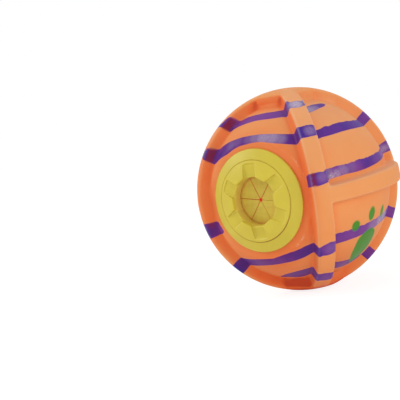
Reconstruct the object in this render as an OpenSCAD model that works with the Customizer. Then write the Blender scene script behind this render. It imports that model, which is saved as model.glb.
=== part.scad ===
// Treat dispensing ball: a ribbed vinyl ball with a screw-in mouth that lets treats out through slit flaps.
// The origin is the lowest point, where the ball stands on its lower boss. +Z runs up through both
// bosses, and -Y points out of the mouth.

/* [Ball] */
// Diameter over the raised bands
ball_d = 110; // [106:1:116]
// Thickness of the vinyl between the bands
wall = 3; // [2.4:0.1:3.6]
// Height of the bands above the panels
band_h = 6; // [5:0.1:6.5]
// Width of a band at its top
band_w = 8.8; // [6:0.1:10]
// How far each side of a band slopes out from top to foot
band_draft = 0.9; // [0.3:0.1:1.2]
// Chamfer along the edges of the bands and bosses
band_edge = 0.8; // [0.4:0.1:1.2]
// Side of the square boss at each pole, at its top
boss_w = 29; // [22:0.5:32]

/* [Mouth] */
// Outer diameter of the collar's flange
flange_d = 54; // [52:0.5:55]
// Width of the flat seat left around the flange
seat_w = 4; // [3:0.1:4.5]
// Thickness of the flange at its outer edge
flange_edge = 1.1; // [0.8:0.1:1.6]
// Radius of the dome over the collar and the cap
dome_r = 66; // [60:1:80]
// Thickness of the shell's lip behind the seat
lip_t = 3.5; // [3:0.1:4]
// Diameter of the collar's neck, which fills the hole in the shell
neck_d = 48; // [47:0.25:49]
// Length of the neck behind the seat
neck_len = 10.5; // [9.5:0.1:12]
// How far the snap bead stands out from the neck
bead_h = 1.3; // [0.8:0.1:1.6]

/* [Cap] */
// Outer diameter of the cap's head
cap_d = 42.4; // [42:0.1:43]
// Seam between the head and the collar, on the radius
seam = 0.2; // [0.15:0.05:0.3]
// Diameter of the throat that treats pass through
throat_d = 25; // [23:0.5:26]
// Depth of the throat, from its edge down to the diaphragm
throat_depth = 7.5; // [6.5:0.1:8]
// Width of each finger recess
recess_w = 7.3; // [6:0.1:7.6]
// Depth of each finger recess where it meets the throat
recess_depth = 1.9; // [1:0.1:2.2]
// Depth of each finger recess at its outer end
recess_start = 0.5; // [0.2:0.1:0.8]
// Width of the plain rim outside the recesses
rim_w = 1.4; // [1.2:0.1:3]
// Number of finger recesses
recess_count = 6; // [4:1:8]

/* [Thread] */
// Outer diameter of the cap's threaded skirt, without its ridge
skirt_d = 39; // [38.6:0.1:39.4]
// Rise of the cap in one turn
lead = 5; // [4.5:0.1:5.5]
// Height of both thread ridges, on the radius
ridge_h = 1; // [0.8:0.05:1.1]
// Width of a thread ridge at its root
ridge_root = 2; // [1.6:0.1:2.2]
// Width of a thread ridge at its crest
ridge_crest = 1.1; // [0.8:0.1:1.4]
// Clearance between a ridge's crest and the wall that it faces
ridge_gap = 0.25; // [0.2:0.05:0.35]

/* [Diaphragm] */
// Thickness of the diaphragm
disc_t = 1.6; // [1.2:0.1:1.8]
// How far the diaphragm reaches under the cap's shoulder
disc_grip = 2.6; // [2:0.1:3]
// Width of each slit
slit_w = 0.4; // [0.3:0.05:0.6]
// Diameter of the hole where the slits meet
eye_d = 1.6; // [1.2:0.1:2.4]
// Diameter of the relief hole at each slit's end
relief_d = 1.5; // [1.4:0.1:1.8]
// Height of the ring that holds the diaphragm
ring_h = 2.4; // [2:0.1:3]

/* [Hidden] */
$fn = 96;
// Overrun of every cut
over = 1;
// Play between pieces that lie against each other but move apart
play = 0.1;

// Ball
ball_r = ball_d / 2;
panel_r = ball_r - band_h;
cavity_r = panel_r - wall;
band_top = band_w / 2;
band_foot = band_top + band_draft;
boss_top = boss_w / 2;
boss_foot = boss_top + band_draft;
// The bands stand on planes turned this far from the mouth
band_turn = 45;
// Part of the circle that the level band covers, all but the quarter with the mouth
level_arc = 270;
// Tilt that puts the poles of the outer sphere in the middle of two panels, clear of the bands
pole_tilt = 54.7;

// Mouth, measured outwards from the ball's centre
flange_r = flange_d / 2;
seat_r = flange_r + seat_w;
seat_z = sqrt(panel_r * panel_r - seat_r * seat_r);
dome_z = seat_z + flange_edge - sqrt(dome_r * dome_r - flange_r * flange_r);
neck_r = neck_d / 2;
hole_r = neck_r + play;
lip_z = seat_z - lip_t;
neck_z = seat_z - neck_len;
bead_r = neck_r + bead_h;
// The head and its seat in the collar
cap_r = cap_d / 2;
well_r = cap_r + seam;
head_edge = 2.5;
ledge_z = dome_height(cap_r) - head_edge;
// The throat and the shoulder over the diaphragm
throat_r = throat_d / 2;
shoulder_z = dome_height(throat_r) - throat_depth;
rim_r = cap_r - rim_w;
recess_turn = 360 / recess_count;
// The throat's edge has twice as many flats as there are recesses
edge_flats = 2 * recess_count;
edge_flat_depth = 3.2;
// The flats stand back from the round throat
edge_r = (throat_r + play) / cos(180 / edge_flats);

// Thread
skirt_r = skirt_d / 2;
skirt_z = neck_z + play;
male_crest = skirt_r + ridge_h;
female_root = male_crest + ridge_gap;
female_crest = female_root - ridge_h;
thread_arc = 300;
thread_step = 10;
thread_z = skirt_z + ridge_root;
// How far the roots of the ridges sink into their walls
ridge_sink = 0.4;

// Diaphragm
flap_count = 6;
slit_start = -8.5;
slit_turn = 360 / flap_count;
disc_top = shoulder_z - play;
disc_z = disc_top - disc_t / 2;
disc_r = throat_r + disc_grip;
pocket_r = disc_r + 3 * play;
window_r = throat_r - play;
window_flat = window_r * cos(slit_turn / 2);
hinge_r = window_flat - disc_t / 2 - play;
flap_half = hinge_r * tan(slit_turn / 2) - slit_w / 2 / cos(slit_turn / 2);
// The rounded root is shorter than the flap, so that it turns clear of its neighbours
root_half = flap_half - disc_t / 2 * tan(slit_turn / 2);
// The ring behind the diaphragm, and the bead that snaps it into the cap
ring_top = disc_top - disc_t - play;
ring_r = pocket_r - play;
ring_bead = 0.5;
ring_bead_z = ring_top - ring_h / 2;

function dome_height(r) = dome_z + sqrt(dome_r * dome_r - r * r);

// Lifts a shape made about the ball's centre so that the ball stands on the origin
module standing() {
    translate([0, 0, ball_r]) children();
}

// Turns a shape made about +Z so that +Z points out of the mouth
module at_mouth() {
    rotate([90, 0, 0]) children();
}

// One raised band, a ring about the Z axis with sloping sides, before it is trimmed to the ball
module band(arc) {
    reach = ball_r + over;
    shoulder_r = ball_r - band_edge;
    rotate_extrude(angle = arc)
        polygon([
            [cavity_r, -band_foot],
            [panel_r, -band_foot],
            [shoulder_r, -band_top],
            [ball_r, band_edge - band_top],
            [reach, band_edge - band_top],
            [reach, band_top - band_edge],
            [ball_r, band_top - band_edge],
            [shoulder_r, band_top],
            [panel_r, band_foot],
            [cavity_r, band_foot]
        ]);
}

// A bar along X with the boss's section: sloping sides, chamfered edges and an open top
module boss_bar() {
    corner_z = sqrt(ball_r * ball_r - boss_top * boss_top);
    foot_z = sqrt(panel_r * panel_r - boss_foot * boss_foot);
    chamfer_top = boss_top - band_edge;
    rotate([90, 0, 90])
        linear_extrude(2 * panel_r, center = true)
            polygon([
                [-boss_foot, 0],
                [-boss_foot, foot_z],
                [-boss_top, corner_z - band_edge],
                [-chamfer_top, corner_z],
                [-chamfer_top, ball_r + over],
                [chamfer_top, ball_r + over],
                [chamfer_top, corner_z],
                [boss_top, corner_z - band_edge],
                [boss_foot, foot_z],
                [boss_foot, 0]
            ]);
}

// The square boss at the upper pole, before it is trimmed to the ball
module boss() {
    intersection() {
        boss_bar();
        rotate([0, 0, 90]) boss_bar();
    }
}

// All bands and bosses, trimmed to the ball's round outside
module raised() {
    intersection() {
        rotate([0, pole_tilt, 0]) sphere(r = ball_r);
        union() {
            rotate([0, 0, band_turn]) rotate([90, 0, 0]) band(360);
            rotate([0, 0, -band_turn]) rotate([90, 0, 0]) band(360);
            rotate([0, 0, -band_turn]) band(level_arc);
            boss();
            mirror([0, 0, 1]) boss();
        }
    }
}

// The panels' sphere, cut flat where the collar sits
module panels() {
    span = 2 * (panel_r + over);
    difference() {
        at_mouth() sphere(r = panel_r);
        at_mouth() translate([-span / 2, -span / 2, seat_z]) cube([span, span, span]);
    }
}

// The hollow inside, kept off the lip of the mouth
module cavity() {
    span = 2 * (cavity_r + over);
    difference() {
        at_mouth() sphere(r = cavity_r);
        at_mouth() translate([-span / 2, -span / 2, lip_z]) cube([span, span, span]);
    }
}

module ball_shell() {
    color("#f0843e") standing() difference() {
        union() {
            panels();
            raised();
        }
        cavity();
        at_mouth() translate([0, 0, lip_z - over]) cylinder(h = lip_t + 2 * over, r = hole_r);
    }
}

// A thread ridge: a tapered bar that winds about +Z, one lead a turn, from its root to its crest
module ridge(root_r, crest_r, start_z) {
    steps = thread_arc / thread_step;
    sunk_r = root_r < crest_r ? root_r - ridge_sink : root_r + ridge_sink;
    flank = (ridge_root - ridge_crest) / ridge_h;
    sunk = ridge_root + flank * ridge_sink;
    profile = [
        [sunk_r, -sunk / 2],
        [crest_r, -ridge_crest / 2],
        [crest_r, ridge_crest / 2],
        [sunk_r, sunk / 2]
    ];
    count = len(profile);
    points = [
        for (i = [0 : steps], p = profile)
            let (turn = i * thread_step, rise = lead * turn / 360)
                [p[0] * cos(turn), p[0] * sin(turn), start_z + rise + p[1]]
    ];
    sides = [
        for (i = [0 : steps - 1], j = [0 : count - 1])
            let (a = i * count + j, b = i * count + (j + 1) % count)
                [a, b, b + count, a + count]
    ];
    start = [[for (j = [count - 1 : -1 : 0]) j]];
    end = [[for (j = [0 : count - 1]) steps * count + j]];
    faces = concat(sides, start, end);
    flipped = [for (f = faces) [for (k = [len(f) - 1 : -1 : 0]) f[k]]];
    polyhedron(points, root_r < crest_r ? faces : flipped);
}

// The domed disc that the collar's flange and the cap's head are both cut from
module dome(r, low_z) {
    intersection() {
        translate([0, 0, dome_z]) sphere(r = dome_r);
        translate([0, 0, low_z]) cylinder(h = dome_r, r = r);
    }
}

module mouth_collar() {
    color("#d8c845") standing() at_mouth() union() {
        difference() {
            union() {
                dome(flange_r, seat_z);
                translate([0, 0, neck_z]) cylinder(h = neck_len + over, r = neck_r);
                translate([0, 0, lip_z - 2 * bead_h])
                    cylinder(h = 2 * bead_h, r1 = neck_r, r2 = bead_r);
            }
            translate([0, 0, neck_z - over]) cylinder(h = ledge_z + 2 * over - neck_z, r = female_root);
            translate([0, 0, ledge_z]) cylinder(h = dome_r, r = well_r);
        }
        ridge(female_root, female_crest, thread_z + lead / 2);
    }
}

// The finger recess on the +X side of the cap, a ramp that deepens towards the throat
module recess() {
    outer_z = dome_height(rim_r) - recess_start;
    inner_z = dome_height(throat_r) - recess_depth;
    slope = atan2(outer_z - inner_z, rim_r - throat_r);
    length = rim_r + over;
    intersection() {
        translate([rim_r, 0, outer_z])
            rotate([0, -slope, 0])
                translate([-length, -recess_w / 2, 0])
                    cube([length + over, recess_w, throat_depth]);
        cylinder(h = dome_r, r = rim_r);
    }
}

module twist_cap() {
    edge_z = dome_height(throat_r) - edge_flat_depth;
    color("#dccb48") standing() at_mouth() union() {
        difference() {
            union() {
                dome(cap_r, ledge_z + play);
                translate([0, 0, skirt_z]) cylinder(h = ledge_z + over - skirt_z, r = skirt_r);
            }
            translate([0, 0, skirt_z - over]) cylinder(h = dome_r, r = throat_r);
            translate([0, 0, edge_z])
                rotate([0, 0, recess_turn / 4])
                    cylinder(h = dome_r, r = edge_r, $fn = edge_flats);
            translate([0, 0, skirt_z - over]) cylinder(h = shoulder_z + over - skirt_z, r = pocket_r);
            translate([0, 0, ring_bead_z]) snap_bead(pocket_r, play);
            for (i = [0 : recess_count - 1])
                rotate([0, 0, (i + 1 / 2) * recess_turn]) recess();
        }
        ridge(skirt_r, male_crest, thread_z);
    }
}

// A low bead of triangular section on a wall, larger by grow for the groove that takes it
module snap_bead(r, grow) {
    reach = ring_bead + grow;
    rotate_extrude()
        polygon([
            [r - ring_h / 2, -reach],
            [r, -reach],
            [r + reach, 0],
            [r, reach],
            [r - ring_h / 2, reach]
        ]);
}

module clamp_ring() {
    color("#cdbb3c") standing() at_mouth() difference() {
        union() {
            translate([0, 0, ring_top - ring_h]) cylinder(h = ring_h, r = ring_r);
            translate([0, 0, ring_bead_z]) snap_bead(ring_r, 0);
        }
        translate([0, 0, ring_top - ring_h - over]) cylinder(h = ring_h + 2 * over, r = throat_r);
    }
}

module diaphragm_rim() {
    color("#bfae45") standing() at_mouth() difference() {
        translate([0, 0, disc_top - disc_t]) cylinder(h = disc_t, r = disc_r);
        translate([0, 0, disc_top - disc_t - over])
            rotate([0, 0, slit_start]) cylinder(h = disc_t + 2 * over, r = window_r, $fn = flap_count);
    }
}

// One flap: a pointed leaf that is rounded along its root, where it bends
module flap(index) {
    tip_half = eye_d / 4;
    tip_r = (tip_half + slit_w / 2 / cos(slit_turn / 2)) / tan(slit_turn / 2);
    color("#c4b24a") standing() at_mouth()
        rotate([0, 0, slit_start + (index - 1 / 2) * slit_turn])
            difference() {
                translate([0, 0, disc_z]) union() {
                    translate([0, 0, -disc_t / 2])
                        linear_extrude(disc_t)
                            polygon([
                                [tip_r, -tip_half],
                                [hinge_r, -flap_half],
                                [hinge_r, flap_half],
                                [tip_r, tip_half]
                            ]);
                    translate([hinge_r, root_half, 0])
                        rotate([90, 0, 0]) cylinder(h = 2 * root_half, r = disc_t / 2);
                }
                translate([0, 0, disc_z - disc_t]) {
                    cylinder(h = 2 * disc_t, r = eye_d / 2);
                    for (side = [-1, 1])
                        rotate([0, 0, side * slit_turn / 2])
                            translate([hinge_r / cos(slit_turn / 2), 0, 0])
                                cylinder(h = 2 * disc_t, r = relief_d / 2);
                }
            }
}

ball_shell();
mouth_collar();
twist_cap();
clamp_ring();
diaphragm_rim();
for (i = [1 : flap_count]) flap(i);
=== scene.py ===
"""Treat dispensing ball: the dressed pieces, the studio and the camera.

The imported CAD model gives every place. Soft-edged copies stand for the
moulded parts, a slit rubber disc is built leaf by leaf, and the sprayed
stripes and paw are worked out on the ball's own surface in millimetres.
"""

import logging
import math
from collections.abc import Callable
from dataclasses import dataclass
from enum import Enum
from functools import partial

import bmesh
import bpy
import numpy as np
from mathutils import Matrix, Vector


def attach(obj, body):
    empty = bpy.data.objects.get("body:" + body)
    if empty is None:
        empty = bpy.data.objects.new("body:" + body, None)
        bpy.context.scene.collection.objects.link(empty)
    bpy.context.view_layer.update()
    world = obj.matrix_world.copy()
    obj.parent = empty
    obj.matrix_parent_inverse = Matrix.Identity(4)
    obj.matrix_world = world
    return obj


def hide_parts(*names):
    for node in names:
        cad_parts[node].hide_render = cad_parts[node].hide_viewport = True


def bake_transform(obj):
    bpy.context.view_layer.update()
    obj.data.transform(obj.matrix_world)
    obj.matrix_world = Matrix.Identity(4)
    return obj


Span = tuple[float, float]                  # a start and an end, or a pair
Spot = tuple[float, float, float, float]    # azimuth, elevation, reach in millimetres and share

LOG = logging.getLogger("treat_ball")
MM = 0.001
BALL_R = 55.0      # radius over the bands in millimetres
CENTRE = np.array((0.0, 0.0, BALL_R * MM))
FAR = 99.0         # millimetres, more than any length on the ball
TINY = 1e-9
RELAX = 0.5        # how far one smoothing step moves a point
FRONT, RIGHT_BAND, LEFT_BAND = -90, -45, -135    # azimuths in degrees
WHITE = (1, 1, 1, 1)

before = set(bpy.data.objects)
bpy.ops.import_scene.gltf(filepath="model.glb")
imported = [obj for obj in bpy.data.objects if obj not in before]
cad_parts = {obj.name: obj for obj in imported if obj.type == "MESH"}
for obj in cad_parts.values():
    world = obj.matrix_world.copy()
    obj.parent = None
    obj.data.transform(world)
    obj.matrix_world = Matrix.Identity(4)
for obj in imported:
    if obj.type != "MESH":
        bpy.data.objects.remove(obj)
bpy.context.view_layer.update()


class Body(Enum):
    """The moving bodies that the pieces ride on."""

    BALL = "ball"
    CAP = "cap"
    DIAPHRAGM = "diaphragm"


class Slot(Enum):
    """The record's material slots."""

    VINYL = "orange_vinyl"
    PLASTIC = "yellow_plastic"
    RUBBER = "yellow_rubber"


def srgb(code: str) -> tuple[float, float, float, float]:
    """Turns an sRGB hex colour to linear.

    Args:
        code: Six hex digits after a hash.

    Returns:
        Linear red, green and blue, with an alpha of 1.
    """
    parts = [int(code[i:i + 2], 16) / 255 for i in (1, 3, 5)]
    red, green, blue = (c / 12.92 if c <= 0.04045 else ((c + 0.055) / 1.055) ** 2.4 for c in parts)
    return red, green, blue, 1.0


def add_node(tree: bpy.types.NodeTree, kind: str, inputs: dict | None = None,
             **settings: object) -> bpy.types.Node:
    """Adds a shader node with its settings and links.

    Args:
        tree: The node tree.
        kind: The node's type, such as Math.
        inputs: For each input, by name or number, a value, a socket, or a node whose first
            open output feeds it.
        settings: The node's own properties by name.

    Returns:
        The new node.
    """
    node = tree.nodes.new(f"ShaderNode{kind}")
    for name, value in settings.items():
        setattr(node, name, value)
    for name, value in (inputs or {}).items():
        if isinstance(value, bpy.types.Node):
            value = next(socket for socket in value.outputs if socket.enabled)
        if isinstance(value, bpy.types.NodeSocket):
            tree.links.new(value, node.inputs[name])
        else:
            node.inputs[name].default_value = value
    return node


def new_material(name: str) -> tuple[bpy.types.Material, Callable[..., bpy.types.Node]]:
    """Makes an empty node material.

    Args:
        name: The finish's name.

    Returns:
        The material, and add_node for its cleared tree.
    """
    material = bpy.data.materials.new(name)
    material.use_nodes = True
    material.node_tree.nodes.clear()
    return material, partial(add_node, material.node_tree)


def new_object(name: str, data: bpy.types.ID) -> bpy.types.Object:
    """Makes an object and links it to the scene.

    Args:
        name: Its name.
        data: Its mesh, lamp or camera.

    Returns:
        The object.
    """
    piece = bpy.data.objects.new(name, data)
    bpy.context.scene.collection.objects.link(piece)
    return piece


def apply_modifiers(piece: bpy.types.Object) -> None:
    """Turns the piece's modifiers into its mesh.

    Args:
        piece: The piece, which keeps no modifier.
    """
    graph = bpy.context.evaluated_depsgraph_get()
    mesh = bpy.data.meshes.new_from_object(piece.evaluated_get(graph))
    piece.modifiers.clear()
    piece.data = mesh
    mesh.shade_smooth()


def points_of(piece: bpy.types.Object) -> np.ndarray:
    """Measures where the piece's points lie.

    Args:
        piece: The piece.

    Returns:
        Rows of millimetres from the ball's centre.
    """
    flat = np.empty(len(piece.data.vertices) * 3)
    piece.data.vertices.foreach_get("co", flat)
    return (flat.reshape(-1, 3) - CENTRE) / MM


def set_points(piece: bpy.types.Object, points: np.ndarray) -> None:
    """Writes back points given in millimetres from the ball's centre."""
    piece.data.vertices.foreach_set("co", (points * MM + CENTRE).ravel())
    piece.data.update()


def set_field(piece: bpy.types.Object, name: str, values: np.ndarray) -> None:
    """Stores one number per point under a name that materials can read."""
    layer = piece.data.attributes.new(name, "FLOAT", "POINT")
    layer.data.foreach_set("value", values.astype(np.float32))


def smooth_step(start: float, full: float, values: np.ndarray) -> np.ndarray:
    """Goes smoothly from 0 at the start to 1 at the full value, which may lie below it."""
    t = np.clip((values - start) / (full - start), 0, 1)
    return t * t * (3 - 2 * t)


def bell(middle: float, width: float, values: np.ndarray) -> np.ndarray:
    """Peaks at 1 on the middle value and fades over the width."""
    return np.exp(-((values - middle) / width) ** 2)


def direction(azimuth: np.ndarray, elevation: np.ndarray) -> np.ndarray:
    """Gives unit vectors for azimuth and elevation in degrees."""
    a, e = np.radians(azimuth), np.radians(elevation)
    return np.stack([np.cos(e) * np.cos(a), np.cos(e) * np.sin(a), np.sin(e)], -1)


def bearings(points: np.ndarray) -> tuple[np.ndarray, np.ndarray]:
    """Gives the azimuth and elevation in degrees of points round the ball's centre."""
    x, y, z = points.T
    return np.degrees(np.arctan2(y, x)), np.degrees(np.arctan2(z, np.hypot(x, y)))


# Paint

@dataclass(frozen=True)
class Stripe:
    """One sprayed tiger stripe, as waypoints round the ball.

    Attributes:
        points: Azimuth and elevation in degrees and half width in millimetres.
        least: Half width at which a stripe's tip ends.
    """

    points: tuple[tuple[float, float, float], ...]
    least: float = 0.05

    def course(self, steps: int = 5) -> np.ndarray:
        """Runs a Catmull-Rom curve through the waypoints.

        Args:
            steps: Pieces per gap between two waypoints.

        Returns:
            Rows of azimuth, elevation and half width.
        """
        p = np.array(self.points)
        p = np.vstack([2 * p[0] - p[1], p, 2 * p[-1] - p[-2]])
        t = np.linspace(0, 1, steps, endpoint=False)[:, None]
        rows = []
        for a, b, c, d in zip(p, p[1:], p[2:], p[3:]):
            rows.append(0.5 * (2 * b + (c - a) * t + (2 * a - 5 * b + 4 * c - d) * t ** 2
                               + (3 * b - a - 3 * c + d) * t ** 3))
        rows.append(p[-2:-1])
        out = np.vstack(rows)
        out[:, 2] = np.maximum(out[:, 2], self.least)
        return out


@dataclass(frozen=True)
class PaintPlan:
    """Where the decoration lies on the ball, measured round its centre.

    Attributes:
        radius: Mean radius in millimetres at which widths are true.
        close: A stripe's piece is measured where a direction's product with its two ends is over this.
        paw_reach: Degrees of azimuth and of elevation within which the pad is measured.
        spot_shares: Shares of a spot's reach at which it starts and ends to fade.
        stripes: Every purple stripe.
        pad: Outline of the paw's pad, azimuth and elevation in degrees.
        pad_steps: Pieces per gap between two of its points.
        toes: Centre, half sizes in degrees and tilt of each toe.
        faint: Spots of thin, blurred paint: azimuth, elevation, reach in millimetres and share.
        painted_glint: Spots of painted highlight on the paint, speckled, in the same terms.
        warm: Where the purple leans to plum.
        cool: Where the purple leans to blue.
    """

    radius: float = 52.0
    close: float = 1.94
    paw_reach: Span = (40.0, 25.0)
    spot_shares: Span = (0.3, 1.1)
    stripes: tuple[Stripe, ...] = (
        Stripe(((-238, 61, 0.2), (-215, 59, 2.6), (-185, 55.5, 3), (-160, 51, 3.2), (-145, 48.2, 2.4),
                (-135, 48.5, 1.2), (-128, 49.6, 1.8), (-125.6, 51.9, 2.3), (-122, 53.9, 2.8),
                (-112, 57, 3.5), (-91.8, 59, 3.2), (-74.2, 58.8, 3.4), (-59.8, 58.3, 3.3),
                (-52.8, 55.8, 2.3), (-45.3, 55.5, 3), (-38.4, 55.5, 2), (-30.2, 57.6, 2.7),
                (-16.7, 59.7, 2.5), (-3, 60.8, 2), (6.6, 61.1, 0.3))),
        Stripe(((-225, 35, 2.8), (-195, 39, 3.1), (-165, 38, 2.7), (-145, 31.9, 2.4), (-135, 29.9, 1.9),
                (-129.2, 30.2, 3.25), (-126.6, 29.7, 3.5), (-124, 31.8, 4.25), (-114.2, 35.9, 3.9),
                (-100, 39.8, 2.6), (-81.7, 40.3, 2.3), (-67, 37.8, 3), (-52.4, 34.8, 3.3),
                (-49.8, 34.4, 3.1), (-44.9, 34.6, 3.3), (-40.4, 34.7, 3), (-35.9, 35.6, 2.6),
                (-28.5, 36.5, 2.95), (-10, 37.9, 3.05), (15, 37.5, 2.7), (35, 37.3, 2.8), (39, 37, 2.6),
                (45, 37, 2.6), (65, 40, 2.8), (90, 42, 3), (115, 38.5, 2.6), (135, 35, 2.8))),
        Stripe(((-57, 7.2, 3), (-52, 7.6, 3.1), (-48.3, 7.8, 3), (-45.9, 7.7, 3.1), (-41.1, 8.4, 2.7),
                (-38.2, 9.8, 2.75), (-27, 10.8, 2.7), (-14.6, 11.3, 2.9), (2.8, 12.5, 2.5),
                (14.4, 13.9, 2.45), (30, 15.7, 2.45), (39.8, 15.5, 2.7), (45, 16, 2.5), (60, 14, 2.8),
                (85, 10, 3), (110, 9.5, 2.7), (130, 12.5, 2.6), (140, 12.5, 2.6), (160, 9, 2.4),
                (185, 8.5, 1.4), (196, 9, 0.1))),
        Stripe(((158, -12, 0.1), (175, -12, 2.2), (200, -14, 3), (218, -15.2, 3.1), (225, -14.3, 3.9),
                (231.6, -14.7, 3.8), (234.1, -16.6, 1.9))),
        Stripe(((-235, -27.5, 2.8), (-225, -28.5, 2.8), (-200, -33, 3), (-170, -38.5, 2.9),
                (-145, -42, 2.7), (-135, -42.3, 2.3), (-128.5, -42, 3.5), (-120, -42.4, 3.35),
                (-98.9, -42.1, 2.95), (-85.1, -41.7, 2.6), (-65.6, -38.1, 3.5), (-51.8, -33.1, 2.8),
                (-49.5, -32.3, 2.3), (-45, -31.5, 3.45), (-40.6, -30.1, 3.1), (-36.7, -30.7, 3.35),
                (-17.9, -29.2, 3.3), (-4.9, -27.5, 3.15), (7.2, -25.2, 2.6), (25, -22.7, 3.5),
                (38.9, -24.1, 2.95), (45, -24, 2.75), (65, -27, 3), (90, -31, 2.9), (115, -28, 2.7),
                (125, -27.5, 2.8))),
        Stripe(((-108, -64.2, 0.3), (-92, -62.2, 2.4), (-74.2, -60.9, 4.8), (-57, -55.9, 3),
                (-50.5, -54, 3.4), (-42.9, -54.6, 3.8), (-36.3, -54.7, 3.3), (-27, -56.8, 3.9),
                (-9.5, -57.2, 3.7), (15, -54.7, 1.9), (34, -52.7, 2.75), (38, -51.3, 2.6),
                (45, -51, 2.75), (70, -54, 3), (100, -57, 3.2), (135, -54, 3.2), (165, -58, 3),
                (190, -61, 1.8), (206, -63, 0.1))),
        Stripe(((52, 61.5, 0.1), (70, 61, 2), (90, 58.5, 2.6), (100, 58.6, 0.1))),
    )
    pad: tuple[Span, ...] = (
        (-7.6, -57.3), (-13.4, -52), (-16.4, -46), (-16.8, -39.7), (-16.1, -35.4), (-14, -33),
        (-10.3, -30.7), (-5.5, -29.5), (-1.5, -30.1), (2.7, -32.5), (5, -36.8), (6.2, -41.4),
        (7.3, -46.8), (4.2, -52.3), (-1.5, -56.5), (-4.6, -57.5))
    pad_steps: int = 4
    toes: tuple[tuple[float, float, float, float, float], ...] = (
        (-21.5, -24.6, 3, 3.4, 5), (-7.5, -19.4, 2.9, 4.4, 3), (5.9, -20, 2.2, 3.7, 5))
    faint: tuple[Spot, ...] = (
        (-126.4, 52.5, 4.8, 1), (-127.2, 48.8, 4.6, 1), (-128.2, 32, 4.6, 1), (-128.6, 29, 4.6, 1),
        (-126, 27.5, 4, 1), (-127.2, -11.6, 4, 1), (-126.6, -16.4, 3, 0.9), (-48, 4.8, 1.9, 0.9),
        (-48, 7.4, 1.9, 0.9), (-48, 10.2, 1.9, 0.9), (-126, -43, 4, 0.25))
    painted_glint: tuple[Spot, ...] = (
        (-46, 55.5, 4.8, 1), (-44, 55.5, 2.8, 1), (-33, 57.3, 4.6, 0.8), (-27, 58, 4.6, 0.65),
        (-20, 59, 4, 0.4), (-109, 38, 4.4, 0.14), (-103, 40, 5, 0.1), (-90, 40.6, 5, 0.16),
        (-84, 41.2, 6, 0.36), (-77, 40.2, 6, 0.65), (-70, 39, 6, 0.62), (-64, 37.2, 5, 0.4),
        (-43.5, 34.6, 3.6, 0.34), (-43.4, 8.6, 3.4, 0.16), (-36, 8.2, 2.8, 0.8), (-32, 9, 3.4, 0.52),
        (-37, 11, 3, 0.3), (-27, 10.2, 4.6, 0.32), (-21, 11.2, 5, 0.12), (38.4, 15.2, 2.6, 0.5),
        (43.5, 16, 2.2, 0.6), (-42, -31, 4.5, 0.1), (-3, -27.5, 6, 0.3), (6, -25.5, 6, 0.65),
        (12, -24, 5, 0.7), (90, 42, 8, 0.5), (170, 56, 8, 0.5), (-190, 39, 8, 0.5))
    warm: tuple[Spot, ...] = (
        (-45, -31, 6, 0.7), (-36, -30.6, 8, 0.8), (-25, -30, 9, 0.9), (-12, -28.8, 9, 1), (0, -27, 9, 1),
        (38.5, -24, 5, 0.9), (38, -51, 5, 0.7), (-43, -54.5, 6, 0.7), (-32, -56, 6, 0.9),
        (-20, -57, 7, 1), (-115, 57, 6, 0.8), (-122, 55, 5, 0.8), (-122.5, 35, 3.4, 0.7),
        (38, 37, 4, 0.6), (5, 12.6, 7, 0.35), (20, 14, 8, 0.9), (38, 16, 4, 0.8), (-98, -42.4, 8, 0.5),
        (-125.5, -15.5, 3.6, 1), (160, 10, 9, 0.6), (-60, 58, 5, 0.5), (-31, 10.4, 8, 0.9),
        (-18, 11.5, 8, 0.75), (-85, -42, 8, 0.4), (-100, 58.8, 9, 0.9), (-84, 59, 9, 0.8),
        (-70, 58.6, 7, 0.7), (-90, -62, 9, 0.3), (-74, -61, 9, 0.3), (-60, -57, 8, 0.2),
        (-43.5, 8, 3.6, 0.6), (-36, 36, 9, 0.15), (-24, 37, 9, 0.15))
    cool: tuple[Spot, ...] = (
        (-119, 33.8, 4, 1), (-50.5, 34.8, 3.6, 0.5), (-52.5, 55.8, 3.4, 0.9), (-131.5, -15, 3.4, 1),
        (-129.5, -42.5, 6, 1), (-131, 30, 3, 0.8), (-51, -33.4, 4, 0.5), (-60, -36, 8, 0.5),
        (-66, 37.6, 5, 0.3), (-36, 56.5, 5, 1))

    def stripe_fields(self, unit: np.ndarray) -> tuple[np.ndarray, np.ndarray]:
        """Measures how deep inside a stripe each direction lies.

        Args:
            unit: Unit vectors from the ball's centre.

        Returns:
            Millimetres inside the edge, and 1 above a stripe's middle line or 0 below it.
        """
        best = np.full(len(unit), -FAR)
        above = np.zeros(len(unit))
        for stripe in self.stripes:
            course = stripe.course()
            ends = direction(course[:, 0], course[:, 1])
            for a, b, wa, wb in zip(ends, ends[1:], course[:, 2], course[1:, 2]):
                near = np.nonzero(unit @ (a + b) > self.close)[0]
                v = unit[near]
                t = np.clip((v - a) @ (b - a) / ((b - a) @ (b - a)), 0, 1)[:, None]
                foot = a + t * (b - a)
                foot /= np.linalg.norm(foot, axis=1)[:, None]
                inside = wa + t[:, 0] * (wb - wa) - self.radius * np.linalg.norm(v - foot, axis=1)
                better = inside > best[near]
                best[near[better]] = inside[better]
                above[near[better]] = (v[better, 2] > foot[better, 2])
        return best, above

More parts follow.
